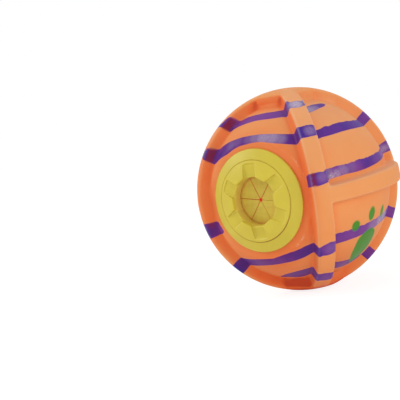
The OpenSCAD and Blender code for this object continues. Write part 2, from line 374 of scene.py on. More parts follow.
    def paw_field(self, unit: np.ndarray) -> np.ndarray:
        """Measures how deep inside the paw each direction lies.

        Args:
            unit: Unit vectors from the ball's centre.

        Returns:
            Millimetres inside the edge.
        """
        azimuth, elevation = bearings(unit)
        scale = self.radius * math.pi / 180
        best = np.full(len(unit), -FAR)
        for a, e, half_a, half_e, tilt in self.toes:
            x, y = (azimuth - a) * math.cos(math.radians(e)), elevation - e
            c, s = math.cos(math.radians(tilt)), math.sin(math.radians(tilt))
            u, w = (c * x - s * y) / half_a, (s * x + c * y) / half_e
            best = np.maximum(best, (1 - np.hypot(u, w)) * min(half_a, half_e) * scale)
        outline = Stripe(tuple((a, e, 1.0) for a, e in (*self.pad, self.pad[0])))
        outline = outline.course(self.pad_steps)[:, :2]
        reach_a, reach_e = self.paw_reach
        near = (np.abs(azimuth) < reach_a) & (np.abs(elevation - outline[:, 1].mean()) < reach_e)
        near = np.nonzero(near)[0]
        line, spot = (np.stack([a * np.cos(np.radians(e)), e], -1)
                      for a, e in (outline.T, (azimuth[near], elevation[near])))
        gap = np.full(len(near), FAR)
        within = np.zeros(len(near), bool)
        for p, q in zip(line, line[1:]):
            t = np.clip((spot - p) @ (q - p) / ((q - p) @ (q - p) + TINY), 0, 1)[:, None]
            gap = np.minimum(gap, np.linalg.norm(spot - p - t * (q - p), axis=1))
            crosses = (p[1] > spot[:, 1]) != (q[1] > spot[:, 1])
            rise = q[1] - p[1] if abs(q[1] - p[1]) > TINY else TINY
            within ^= crosses & (spot[:, 0] < p[0] + (spot[:, 1] - p[1]) / rise * (q[0] - p[0]))
        best[near] = np.maximum(best[near], np.where(within, gap, -gap) * scale)
        return best

    def spots_field(self, unit: np.ndarray, spots: tuple[Spot, ...]) -> np.ndarray:
        """Gives each direction's share of the nearest listed spot, from 0 to 1.

        Args:
            unit: Unit vectors from the ball's centre.
            spots: Azimuth, elevation, reach in millimetres and share of each spot.

        Returns:
            The share at each direction.
        """
        start, end = self.spot_shares
        out = np.zeros(len(unit))
        for azimuth, elevation, reach, share in spots:
            gap = self.radius * np.linalg.norm(unit - direction(azimuth, elevation), axis=1)
            out = np.maximum(out, share * (1 - smooth_step(start * reach, end * reach, gap)))
        return out


# Finishes

@dataclass(frozen=True)
class Finish:
    """What every finish has: a name, a gloss and a fine relief.

    Attributes:
        name: The material and how it was made.
        ior: Refraction of its surface.
        specular: Level of its mirror-like share.
        relief_share: Strength of the relief.
        relief_mm: Its depth.
    """

    name: str = ""
    ior: float = 1.5
    specular: float = 0.25
    relief_share: float = 0.3
    relief_mm: float = 0.08

    def close(self, add: Callable[..., bpy.types.Node], colour: bpy.types.Node, rough: bpy.types.Node,
              height: bpy.types.Node) -> None:
        """Joins the nodes of a finish to its surface.

        Args:
            add: Adds a node to the finish's tree.
            colour: Gives the base colour.
            rough: Gives the roughness.
            height: Gives the relief.
        """
        relief = add("Bump", {"Strength": self.relief_share, "Distance": self.relief_mm * MM,
                              "Height": height})
        shader = add("BsdfPrincipled", {"Base Color": colour, "Roughness": rough, "IOR": self.ior,
                                        "Specular IOR Level": self.specular, "Normal": relief})
        add("OutputMaterial", {"Surface": shader})


@dataclass(frozen=True)
class SprayedVinyl(Finish):
    """Soft PVC, rotocast, with lacquer sprayed through masks.

    To the eye: a satin orange skin with a fine orange-peel grain, under lacquer
    that is a little glossier, rough-edged on top and thin on the sides of some
    bands. Painted shade deepens the skin in its corners, on the bands' sides and
    underneath; painted light pales it along the bands' edges and on its upper
    side, and painted glints pale the lacquer.
    """

    name: str = "soft_pvc_rotocast_sprayed"
    ior: float = 1.53
    specular: float = 0.12
    relief_share: float = 0.55
    relief_mm: float = 0.16
    # The skin's colour ramp, lightest to darkest: pigment clouds move it a little from the first colour, and
    # painted shade in corners, on the sides and underneath moves it to the deep and darkest colours.
    skin_tone: str = "#F3A263"
    deep: str = "#EE7238"
    core: str = "#BE3A24"
    # Colour of the painted highlight along the bands' edges and of the painted light on the skin's upper
    # side.
    edge: str = "#F9C9A4"
    purple: str = "#532C92"
    purple_warm: str = "#7D4298"
    purple_cool: str = "#35298A"
    # maroon: the purple where painted shade falls in corners, and where the paint is thin on some bands'
    # sides
    maroon: str = "#7C1A42"
    # Colour of the painted glints, speckled painted highlights on the lacquer, and of the painted highlight
    # along its edges.
    painted_glint: str = "#DCCAD6"
    green: str = "#3E8E2C"
    scuff: str = "#F4C9A6"
    vinyl_roughness: float = 0.55
    paint_roughness: float = 0.42
    grain_mm: float = 0.9       # the real peel is about 0.4 mm, too fine to show
    speck_mm: float = 0.7       # speckle of the painted glints on the lacquer, and pores in the scuffed skin
    blotch_mm: float = 4.0      # uneven pigment in the purple
    rag_mm: float = 4.5         # length of the scallops along a stripe's upper edge
    cloud_mm: float = 14.0      # pigment clouds in the cast skin
    rag_depth: float = 0.42     # millimetres that a scallop cuts in or juts out
    cloud_share: float = 0.22   # how much of the skin's depth of colour the clouds make
    highlight_share: float = 0.26    # how much paler the painted highlight makes the skin
    blotch_share: float = 0.25
    shade_maroon_share: float = 0.7     # how far painted shade in a corner turns the paint maroon
    glint_share: float = 0.62   # how much the painted glint hides the purple where it is even
    edge_highlight_share: float = 0.24    # how much the painted highlight along an edge pales the paint
    green_share: float = 0.965  # how much of the skin the green hides
    film_share: float = 0.25    # height of the paint's film beside the grain's
    pore_roughness: float = 0.1
    deep_at: float = 0.6        # where the skin's middle colour stands between its two ends
    purple_at: float = 0.5

    def make(self) -> bpy.types.Material:
        """Builds the node material.

        Returns:
            The material.
        """
        material, add = new_material(self.name)
        place = add("TexCoord").outputs["Object"]
        (stripe_mm, upper_edge, paw_mm, faint, painted_glint, glint_speckle, tint, recess, edge, edge_highlight, scuff) = (
            add("Attribute", attribute_name=key).outputs["Fac"]
            for key in ("stripe_mm", "upper_edge", "paw_mm", "faint", "painted_glint", "glint_speckle", "tint", "recess",
                        "edge", "edge_highlight", "scuff"))
        rag, cloud, speck, blotch, grain = (
            add("TexNoise", {"Vector": place, "Scale": 1 / (mm * MM), "Detail": detail, "Roughness": broken})
            for mm, detail, broken in (
                (self.rag_mm, 3.0, 0.5), (self.cloud_mm, 3.0, 0.5), (self.speck_mm, 2.0, 0.6),
                (self.blotch_mm, 3.0, 0.6), (self.grain_mm, 2.0, 0.5)))

        rag = add("MapRange", {"Value": rag, "From Min": 0.3, "From Max": 0.7,
                               "To Min": -self.rag_depth, "To Max": self.rag_depth})
        reach = add("MapRange", {"Value": upper_edge, "To Min": 0.15, "To Max": 1.0})
        inside = add("Math", {0: rag, 1: reach, 2: stripe_mm}, operation="MULTIPLY_ADD")
        blur = add("MapRange", {"Value": faint, "To Min": 0.2, "To Max": 0.75})
        inner = add("Math", {0: blur, 1: -1.0}, operation="MULTIPLY")
        stripe = add("MapRange", {"Value": inside, "From Min": inner, "From Max": blur},
                     interpolation_type="SMOOTHSTEP")
        paw = add("MapRange", {"Value": paw_mm, "From Min": -0.65, "From Max": 0.55,
                               "To Max": self.green_share}, interpolation_type="SMOOTHSTEP")

        # Painted shade: the shade field and the pigment clouds move the skin's colour towards its darker end.
        depth = add("Math", {0: cloud, 1: self.cloud_share, 2: recess},
                    operation="MULTIPLY_ADD", use_clamp=True)
        depth = add("Math", {0: depth, 1: self.cloud_share / 2}, operation="SUBTRACT", use_clamp=True)
        # Painted highlight along the bands' edges, and painted light on the skin's upper side.
        light = add("Math", {0: edge, 1: self.highlight_share}, operation="MULTIPLY")
        marks = add("MapRange", {"Value": speck, "From Min": 0.48, "From Max": 0.62})
        marks = add("Math", {0: marks, 1: scuff}, operation="MULTIPLY")

        lean = add("MapRange", {"Value": blotch, "From Min": 0.4, "From Max": 0.75})
        lean = add("Math", {0: lean, 1: self.blotch_share, 2: tint}, operation="MULTIPLY_ADD")
        lean = add("MapRange", {"Value": lean, "From Min": -1.0, "From Max": 1.0})
        # Painted shade in corners, and thin paint on the bands' sides, turn the purple maroon.
        thin_paint_and_shade = add("Math", {0: recess, 1: self.shade_maroon_share}, operation="MULTIPLY")
        thin_paint_and_shade = add("Math", {0: thin_paint_and_shade, 1: faint}, operation="MAXIMUM")
        # Painted glints: speckled painted highlights on the lacquer.
        glint = add("MapRange", {"Value": speck, "From Min": 0.36, "From Max": 0.64,
                                 "To Min": -0.5, "To Max": 0.5})
        glint = add("Math", {0: glint, 1: glint_speckle, 2: self.glint_share}, operation="MULTIPLY_ADD")
        glint = add("Math", {0: glint, 1: painted_glint}, operation="MULTIPLY", use_clamp=True)
        # Painted highlight along the bands' edges, on the paint.
        edge_light = add("Math", {0: edge_highlight, 1: self.edge_highlight_share}, operation="MULTIPLY")
        glint = add("Math", {0: glint, 1: edge_light}, operation="MAXIMUM")

        coats = []
        for share, middle, codes, layers in (
                (depth, self.deep_at, (self.skin_tone, self.deep, self.core),
                 ((light, self.edge), (marks, self.scuff))),
                (lean, self.purple_at, (self.purple_cool, self.purple, self.purple_warm),
                 ((thin_paint_and_shade, self.maroon), (glint, self.painted_glint)))):
            coat = add("ValToRGB", {0: share})
            stops = coat.color_ramp.elements
            stops.new(middle)
            for stop, code in zip(stops, codes):
                stop.color = srgb(code)
            for layer, code in layers:
                coat = add("Mix", {0: layer, 6: coat, 7: srgb(code)}, data_type="RGBA")
            coats.append(coat)
        skin, purple = coats
        colour = add("Mix", {0: stripe, 6: skin, 7: purple}, data_type="RGBA")
        colour = add("Mix", {0: paw, 6: colour, 7: srgb(self.green)}, data_type="RGBA")

        paint = add("Math", {0: stripe, 1: paw}, operation="MAXIMUM")
        rough = add("MapRange", {"Value": paint, "To Min": self.vinyl_roughness,
                                 "To Max": self.paint_roughness})
        rough = add("Math", {0: speck, 1: self.pore_roughness, 2: rough}, operation="MULTIPLY_ADD")
        strength = add("MapRange", {"Value": paint, "To Min": 0.1, "To Max": 0.3})
        peel = add("Math", {0: grain, 1: strength}, operation="MULTIPLY")
        film = add("Math", {0: paint, 1: self.film_share, 2: peel}, operation="MULTIPLY_ADD")
        self.close(add, colour, rough, film)
        return material


@dataclass(frozen=True)
class MouldedPlastic(Finish):
    """Polyethylene, injection moulded in a finely sparked tool.

    To the eye: an even satin yellow with a trace of flow shading, a fine
    matt grain and soft highlights along its rounded edges.
    """

    name: str = "polyethylene_injection_moulded"
    ior: float = 1.51
    specular: float = 0.3
    relief_share: float = 0.25
    relief_mm: float = 0.06
    main: str = "#DCC944"
    shade: str = "#D0B93C"
    # Painted shade on the finger recesses' floors and walls, and the collar's darker tone; painted highlight
    # on walls facing the light; a painted tint for the light inside the throat; the seam's dark joint line,
    # with painted shade on one side.
    shade_and_tone: str = "#A48C26"
    lip: str = "#EEE07C"
    painted_throat_tint: str = "#DEBF5C"
    seam: str = "#A6602C"
    roughness: Span = (0.37, 0.49)
    flow_mm: float = 11.0
    grain_mm: float = 0.7      # real spark grain is 0.1 mm, drawn coarser to show

    def make(self) -> bpy.types.Material:
        """Builds the node material.

        Returns:
            The material.
        """
        material, add = new_material(self.name)
        place = add("TexCoord").outputs["Object"]
        flow, grain = (
            add("TexNoise", {"Vector": place, "Scale": 1 / (mm * MM), "Detail": detail, "Roughness": broken})
            for mm, detail, broken in ((self.flow_mm, 3.0, 0.5), (self.grain_mm, 2.0, 0.55)))
        share = add("MapRange", {"Value": flow, "From Min": 0.35, "From Max": 0.75, "To Max": 0.5})
        colour = add("Mix", {0: share, 6: srgb(self.main), 7: srgb(self.shade)}, data_type="RGBA")
        for key, code in (("shade_and_tone", self.shade_and_tone), ("lip", self.lip), ("painted_throat_tint", self.painted_throat_tint),
                          ("seam", self.seam)):
            share = add("Attribute", attribute_name=key).outputs["Fac"]
            colour = add("Mix", {0: share, 6: colour, 7: srgb(code)}, data_type="RGBA")
        rough = add("MapRange", {"Value": grain, "From Min": 0.3, "From Max": 0.7,
                                 "To Min": self.roughness[0], "To Max": self.roughness[1]})
        self.close(add, colour, rough, grain)
        return material


@dataclass(frozen=True)
class SlitRubber(Finish):
    """Thermoplastic rubber, moulded as a sheet and slit with a blade.

    To the eye: a flatter, darker yellow than the plastic, with red-brown stains
    along the cuts, painted shade towards the throat's wall and bright red pigment
    round the eye.
    """

    name: str = "thermoplastic_rubber_slit"
    ior: float = 1.49
    main: str = "#DDC652"
    shade: str = "#D3B548"
    cut: str = "#DC7440"
    eye: str = "#F04A30"
    roughness: Span = (0.47, 0.63)
    leaf_mm: float = 12.6      # a leaf's length, over which its pattern's coordinates go from 0 to 1
    cloud_mm: float = 3.15
    skin_mm: float = 0.9       # the moulded skin's unevenness, also along the stains
    stain_mm: float = 0.34
    eye_span: Span = (0.8, 1.25)         # radii over which the eye's red ends
    joint_span: Span = (10.95, 12.35)    # radii over which painted shade darkens the disc towards the throat's wall
    joint_share: float = 0.38

    def make(self) -> bpy.types.Material:
        """Builds the node material.

        Returns:
            The material.
        """
        material, add = new_material(self.name)
        place = add("TexCoord").outputs["Generated"]
        cut, eye, stained = (add("Attribute", attribute_name=key).outputs["Fac"]
                             for key in ("cut_mm", "eye_mm", "cut_share"))
        cloud, uneven = (add("TexNoise", {"Vector": place, "Scale": self.leaf_mm / size, "Detail": detail})
                         for size, detail in ((self.cloud_mm, 3.0), (self.skin_mm, 2.0)))
        share = add("MapRange", {"Value": cloud, "From Min": 0.35, "From Max": 0.7, "To Max": 0.7})
        reach = add("Math", {0: uneven, 1: 2 * self.stain_mm}, operation="MULTIPLY")
        stain_and_shade = add("Math", {0: cut, 1: reach}, operation="DIVIDE")
        stain_and_shade = add("MapRange", {"Value": stain_and_shade, "From Min": 0.15, "From Max": 1.0,
                                 "To Min": 1.0, "To Max": 0.0}, interpolation_type="SMOOTHSTEP")
        stain_and_shade = add("Math", {0: stain_and_shade, 1: stained}, operation="MULTIPLY")
        # Painted shade in the corner between the disc and the throat's wall, in the cut's colour.
        start, end = self.joint_span
        joint = add("MapRange", {"Value": eye, "From Min": start, "From Max": end,
                                 "To Max": self.joint_share}, interpolation_type="SMOOTHSTEP")
        stain_and_shade = add("Math", {0: stain_and_shade, 1: joint}, operation="MAXIMUM")
        start, end = self.eye_span
        dot = add("MapRange", {"Value": eye, "From Min": start, "From Max": end,
                               "To Min": 1.0, "To Max": 0.0}, interpolation_type="SMOOTHSTEP")
        colour = add("Mix", {0: share, 6: srgb(self.main), 7: srgb(self.shade)}, data_type="RGBA")
        for share, code in ((stain_and_shade, self.cut), (dot, self.eye)):
            colour = add("Mix", {0: share, 6: colour, 7: srgb(code)}, data_type="RGBA")
        rough = add("MapRange", {"Value": uneven, "To Min": self.roughness[0], "To Max": self.roughness[1]})
        self.close(add, colour, rough, uneven)
        return material


# Pieces

@dataclass(frozen=True)
class SoftCopy:
    """How a piece gets the rounded edges of a moulded part.

    Attributes:
        voxel: Remesh size in metres.
        rounding: Smoothing steps after the remesh.
        keep: Share of the triangles kept.
    """

    voxel: float
    rounding: int
    keep: float = 1.0

    def soften(self, piece: bpy.types.Object) -> None:
        """Remeshes the piece and rounds its edges.

        Args:
            piece: The piece, a closed mesh.
        """
        remesh = piece.modifiers.new("remesh", "REMESH")
        remesh.mode, remesh.voxel_size = "VOXEL", self.voxel
        relax = piece.modifiers.new("round", "SMOOTH")
        relax.factor, relax.iterations = RELAX, self.rounding
        if self.keep < 1:
            piece.modifiers.new("thin", "DECIMATE").ratio = self.keep
        apply_modifiers(piece)

    def make(self, node: str, name: str) -> bpy.types.Object:
        """Copies a CAD node.

        Args:
            node: The CAD node's name.
            name: The new piece's name.

        Returns:
            The new piece, which replaces the node.
        """
        piece = new_object(name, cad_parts[node].data.copy())
        piece.data.materials.clear()
        self.soften(piece)
        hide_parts(node)
        return piece


def dress(piece: bpy.types.Object, material: bpy.types.Material) -> None:
    """Gives a piece its material.

    Args:
        piece: The piece.
        material: Its finish.
    """
    piece.data.materials.clear()
    piece.data.materials.append(material)
    LOG.info("%s: %d faces, %s", piece.name, len(piece.data.polygons), material.name)


@dataclass(frozen=True)
class Zone:
    """One stretch of the skin that gets painted shade, or painted light where its share is below 0.

    Attributes:
        share: How much painted shade it adds, or painted light where it is below 0.
        masks: Names of the masks that bound it.
        ramps: A measure's name, where the zone starts and where it is full, in millimetres.
    """

    share: float
    masks: str
    ramps: tuple[tuple[str, float, float], ...] = ()

    def over(self, measures: dict[str, np.ndarray]) -> np.ndarray:
        """Works out what the zone adds at each point.

        Args:
            measures: The points' measures and masks by name.

        Returns:
            The zone's share at each point.
        """
        out = np.full(len(measures["x"]), self.share)
        for name in self.masks.split():
            out *= measures[name]
        for name, start, full in self.ramps:
            out *= smooth_step(start, full, measures[name])
        return out


@dataclass
class BallShell:
    """The ribbed hollow ball, its decoration, its scuff marks and the light and shade painted on its skin.

    Lengths are in millimetres and angles in degrees. A span goes from where
    a shade starts to where it is full.
    """

    panel_r: float = 49.0
    foot_half: float = 5.3                # half width of a band at its foot
    top_half: float = 4.2                 # half width of its top
    seat_r: float = 31.0                  # the flat seat round the mouth
    form: SoftCopy = SoftCopy(voxel=0.0005, rounding=7, keep=0.34)
    plan: PaintPlan = PaintPlan()
    finish: SprayedVinyl = SprayedVinyl()

    # How far the level band strays upwards by azimuth, over these elevations, and how much more at its edges
    askew: tuple[Span, ...] = ((-54, 0), (-46, -1.3), (-38, -1.3), (-8, 0), (31, 1.4), (60, 0.8), (95, 0))
    askew_span: Span = (22.0, 8.0)
    askew_more: float = 0.25
    askew_edge: float = 5.0

    # Painted shade: where the skin's colour is deeper, below the bands' tops, out from their feet, the seat
    # and the poles
    side_span: Span = (-0.3, -2.4)
    corner_span: Span = (3.0, -0.4)
    mouth_span: Span = (10.0, -2.0)
    mouth_front: float = 25.0
    boss_span: Span = (19.5, 12.5)
    boss_side: float = -1.2
    upper_boss: float = 3.8               # how much wider the upper boss's shade is
    ledge: Span = (7.6, 2.2)              # height and width of the shade over the level band
    right_band: Span = (9.0, 6.0)         # width of the right band's shade, and how far right it starts
    band_half: float = 4.0
    # Each zone adds painted shade, or painted light where its share is below 0.
    zones: tuple[Zone, ...] = (
        Zone(0.06, "side"),
        Zone(0.07, "side corner"),
        Zone(0.15, "side corner front"),
        Zone(0.22, "side corner front", (("z", 12, 34),)),
        Zone(0.17, "side corner front", (("x", 0, -20),)),
        Zone(-0.136, "side corner front", (("x", 0, -20), ("z", -20, -38))),
        Zone(-0.26, "side corner front", (("z", 14, 30), ("x", -2, -14))),
        Zone(0.1, "side", (("z", -8, -36),)),
        Zone(0.1, "side front", (("z", 8, 28), ("x", 15, -20))),
        Zone(0.14, "side ledge right back"),
        Zone(0.1, "side boss lower"),
        Zone(0.75, "side boss lower front"),
        Zone(0.13, "side boss upper"),
        Zone(0.19, "side boss upper front"),
        Zone(0.16, "mouth"),
        Zone(0.25, "mouth rightward"),
        Zone(0.25, "", (("z", -22, -50),)),
        Zone(-0.125, "", (("z", -22, -50), ("off", 10, 28))),
        Zone(0.7, "", (("z", -50, -53.6),)),
        Zone(0.32, "top near", (("z", -40, -20), ("z", 45, 25), ("x", -22, -36))),
        Zone(0.22, "top near", (("z", 14, 30), ("z", 51, 45), ("x", -2, -14))),
        Zone(0.2, "top right_band", (("z", 4, 12), ("z", 49, 40))),
        Zone(0.09, "top near_band right", (("z", -42, -30), ("z", 10, -4))),
    )

    # Painted highlight along edges: the bands' top edges, and less so their feet
    edge_width: float = 0.5
    top_span: Span = (-1.6, -0.6)
    foot_span: Span = (1.5, 0.5)
    foot_share: float = 0.1
    band_reach: float = 12.0
    level_reach: float = 7.0
    highlight_strength: tuple[float, float, float] = (0.8, 0.3, 0.1)    # strength of the painted highlight on the near and level bands, the rest, the left band
    underside_dim: float = 0.8                # how much weaker the painted highlight is on the underside
    underside_span: Span = (-8.0, -30.0)

    # Painted light: the skin is paler from its upper side to its crown, and in a line on the level band's
    # ledge
    pale_span: Span = (6.0, 45.0)
    pale_shares: Span = (0.1, 0.7)        # in front and elsewhere
    pale_front: float = 6.0
    dull_at: float = 50.0
    dull_reach: float = 16.0
    dull_share: float = 0.2
    crown_span: Span = (43.0, 49.0)
    crown_share: float = 0.8
    crown_reach: float = 10.0             # azimuth beside the near band that stays pale
    shelf: Span = (4.8, 0.65)             # height and width of the painted highlight line on the ledge
    shelf_share: float = 1.2
    shelf_side: float = -0.3
    shelf_reach: float = 42.0             # half the opening of the level band in front

    # Rubbed marks on the seat's edge: angle round the mouth, width and share
    marks: tuple[tuple[float, float, float], ...] = (
        (-43, 3.2, 1), (-52, 2.4, 0.7), (33, 4.5, 0.6), (18, 6, 0.25), (-12, 6, 0.2), (140, 12, 0.25))
    mark_width: float = 0.5
    mark_front: float = 30.0

    # How the paint lies on the relief
    skin_depth: float = 2.0               # how deep below the panels the outer skin goes
    bare: float = -9.0                    # what stands for no paint, as millimetres inside its edge
    stub_at: float = -52.0                # the stripe's end that stops on the near band's side
    stub_reach: float = 7.0
    stub_height: float = 0.25             # as a share of the radius
    stub_rise: float = 0.9                # how far above the panel it stops
    stub_slope: float = 1.2
    rag_least: float = 0.3                # share of the scallops in front
    rag_span: Span = (35.0, 55.0)         # azimuth from the front
    wall_foot: Span = (0.2, 1.6)          # a band's side, from the panels up
    wall_top: Span = (-0.2, -1.6)         # and from its top down
    speckle_least: float = 0.4               # how speckled the painted glint is away from the right side
    speckle_reach: float = 46.0
    speckle_height: float = 0.7              # as a share of the radius

    def set_askew(self, piece: bpy.types.Object) -> None:
        """Moves the level band up or down a little along the sphere, as on the cast ball.

        Args:
            piece: The shell.
        """
        points = points_of(piece)
        azimuth, elevation = bearings(points)
        at, shift = zip(*self.askew)
        move = np.interp(azimuth, at, shift) * smooth_step(*self.askew_span, np.abs(elevation))
        move *= 1 + self.askew_more * np.clip(elevation / self.askew_edge, -1, 1)
        unit = direction(azimuth, elevation + np.degrees(move / BALL_R))
        set_points(piece, unit * np.linalg.norm(points, axis=1)[:, None])

    def measure(self, points: np.ndarray) -> dict[str, np.ndarray]:
        """Measures points against the ball's landmarks.

        Args:
            points: Millimetres from the ball's centre.

        Returns:
            Places, lengths, angles and masks of the points by name.
        """
        x, y, z = points.T
        radius, ring, pole = np.linalg.norm(points, axis=1), np.hypot(x, z), np.hypot(x, y)
        front = np.abs(x) < -y
        bands = np.abs(np.stack([x + y, x - y])) * math.sqrt(0.5)
        gap = np.minimum(bands.min(axis=0), np.where(front, FAR, np.abs(z)))
        side = smooth_step(*self.side_span, radius - BALL_R)
        boss = smooth_step(*self.boss_span, pole - np.where(z < 0, 0, self.upper_boss))
        width, start = self.right_band
        return {"x": x, "y": y, "z": z, "off": np.abs(x), "azimuth": bearings(points)[0], "radius": radius,
                "gap": gap, "side": side, "top": 1 - side, "front": front, "back": ~front, "near": y < 0,
                "right": x > 0, "lower": z < 0, "upper": z >= 0, "ledge": bell(*self.ledge, z),
                "corner": smooth_step(*self.corner_span, gap - self.foot_half),
                "mouth": smooth_step(*self.mouth_span, ring - self.seat_r) * (y < -self.mouth_front),
                "rightward": 0.5 + 0.5 * x / np.maximum(ring, 1),
                "boss": boss * (radius < BALL_R + self.boss_side), "near_band": bands[0] < self.band_half,
                "right_band": np.exp(-((x - y) / width) ** 4) * (x > start)}

    def recess(self, at: dict[str, np.ndarray]) -> np.ndarray:
        """Says how much painted shade each measured point gets, from 0 to 1."""
        return np.clip(sum(zone.over(at) for zone in self.zones), 0, 1)

    def edges(self, at: dict[str, np.ndarray]) -> np.ndarray:
        """Says how much painted highlight each point gets near a band's top edge or its foot.

        Args:
            at: The points' measures.

        Returns:
            The share at each point, from 0 to 1.
        """
        top = bell(self.top_half, self.edge_width, at["gap"])
        top *= smooth_step(*self.top_span, at["radius"] - BALL_R)
        foot = bell(self.foot_half, self.edge_width, at["gap"])
        foot *= smooth_step(*self.foot_span, at["radius"] - self.panel_r)
        most, some, least = self.highlight_strength
        near = np.abs(at["azimuth"] - RIGHT_BAND) < self.band_reach
        highlight_strength = np.where(near | (np.abs(at["z"]) < self.level_reach), most, some)
        highlight_strength = np.where(np.abs(at["azimuth"] - LEFT_BAND) < self.band_reach, least, highlight_strength)
        highlight_strength *= 1 - self.underside_dim * smooth_step(*self.underside_span, at["z"])
        return (top + self.foot_share * foot) * highlight_strength

    def painted_top_light(self, at: dict[str, np.ndarray]) -> np.ndarray:
        """Says how much painted light pales the skin on the ball's upper side, away from the mouth, and on
        the ledge.

        Args:
            at: The points' measures.

        Returns:
            The share at each point, from 0 to about 1.
        """
        azimuth, z = at["azimuth"], at["z"]
        upper = smooth_step(*self.pale_span, z)
        upper *= np.where(at["off"] < -at["y"] - self.pale_front, *self.pale_shares)
        upper *= np.where(np.abs(azimuth - self.dull_at) < self.dull_reach, self.dull_share, 1)
        beside = np.abs(azimuth - RIGHT_BAND) > self.crown_reach
        upper *= 1 - self.crown_share * smooth_step(*self.crown_span, z) * beside
        shelf = bell(*self.shelf, z) * (at["radius"] < BALL_R + self.shelf_side)
        return upper + self.shelf_share * shelf * (np.abs(azimuth - FRONT) > self.shelf_reach)

    def scuffs(self, points: np.ndarray) -> np.ndarray:
        """Places the pale scuffed marks on the edge of the seat.

        Args:
            points: Millimetres from the ball's centre.

        Returns:
            The share at each point, from 0 to 1.
        """
        x, y, z = points.T
        turn = np.degrees(np.arctan2(z, x))
        line = bell(self.seat_r, self.mark_width, np.hypot(x, z)) * (y < -self.mark_front)
        return np.clip(line * sum(share * bell(at, width, turn) for at, width, share in self.marks), 0, 1)

    def build(self) -> bpy.types.Object:
        """Makes the shell, stores its paint fields and dresses it.

        Returns:
            The shell.
        """
        piece = self.form.make("ball_shell", "shell_skin")
        at = self.measure(points_of(piece))
        self.set_askew(piece)
        points = points_of(piece)
        radius = np.linalg.norm(points, axis=1)
        unit, height = points / radius[:, None], radius - self.panel_r
        azimuth, high = bearings(unit)[0], unit[:, 2]
        outside = height > -self.skin_depth

        stripe, above = self.plan.stripe_fields(unit)
        stub = (np.abs(azimuth - self.stub_at) < self.stub_reach) & (np.abs(high) < self.stub_height)
        stripe = np.where(stub, np.minimum(stripe, self.stub_slope * (height - self.stub_rise)), stripe)
        rag = smooth_step(*self.rag_span, np.abs(azimuth - FRONT))
        wall = smooth_step(*self.wall_foot, height) * smooth_step(*self.wall_top, radius - BALL_R)
        # Spots of thin paint, painted glints and purple tints.
        faint, painted_glint, warm, cool = (self.plan.spots_field(unit, spots) for spots in (
            self.plan.faint, self.plan.painted_glint, self.plan.warm, self.plan.cool))
        faint *= np.where(points[:, 0] < 0, wall, 1)
        speckle_zone = (np.abs(azimuth) < self.speckle_reach) & (high < self.speckle_height)
        # Painted highlight along the bands' edges and feet.
        edge_highlight = self.edges(at)
        for name, values in {
                "stripe_mm": np.where(outside, stripe, self.bare),
                "upper_edge": above * (self.rag_least + (1 - self.rag_least) * rag),
                "paw_mm": np.where(outside, self.plan.paw_field(unit), self.bare),
                "faint": faint, "tint": warm - cool, "edge_highlight": edge_highlight * (1 - faint),
                "edge": edge_highlight + self.painted_top_light(at), "painted_glint": painted_glint,
                "glint_speckle": painted_glint * np.where(speckle_zone, 1, self.speckle_least),
                "recess": self.recess(at), "scuff": self.scuffs(points)}.items():
            set_field(piece, name, values)
        dress(piece, self.finish.make())
        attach(piece, Body.BALL.value)
        return piece


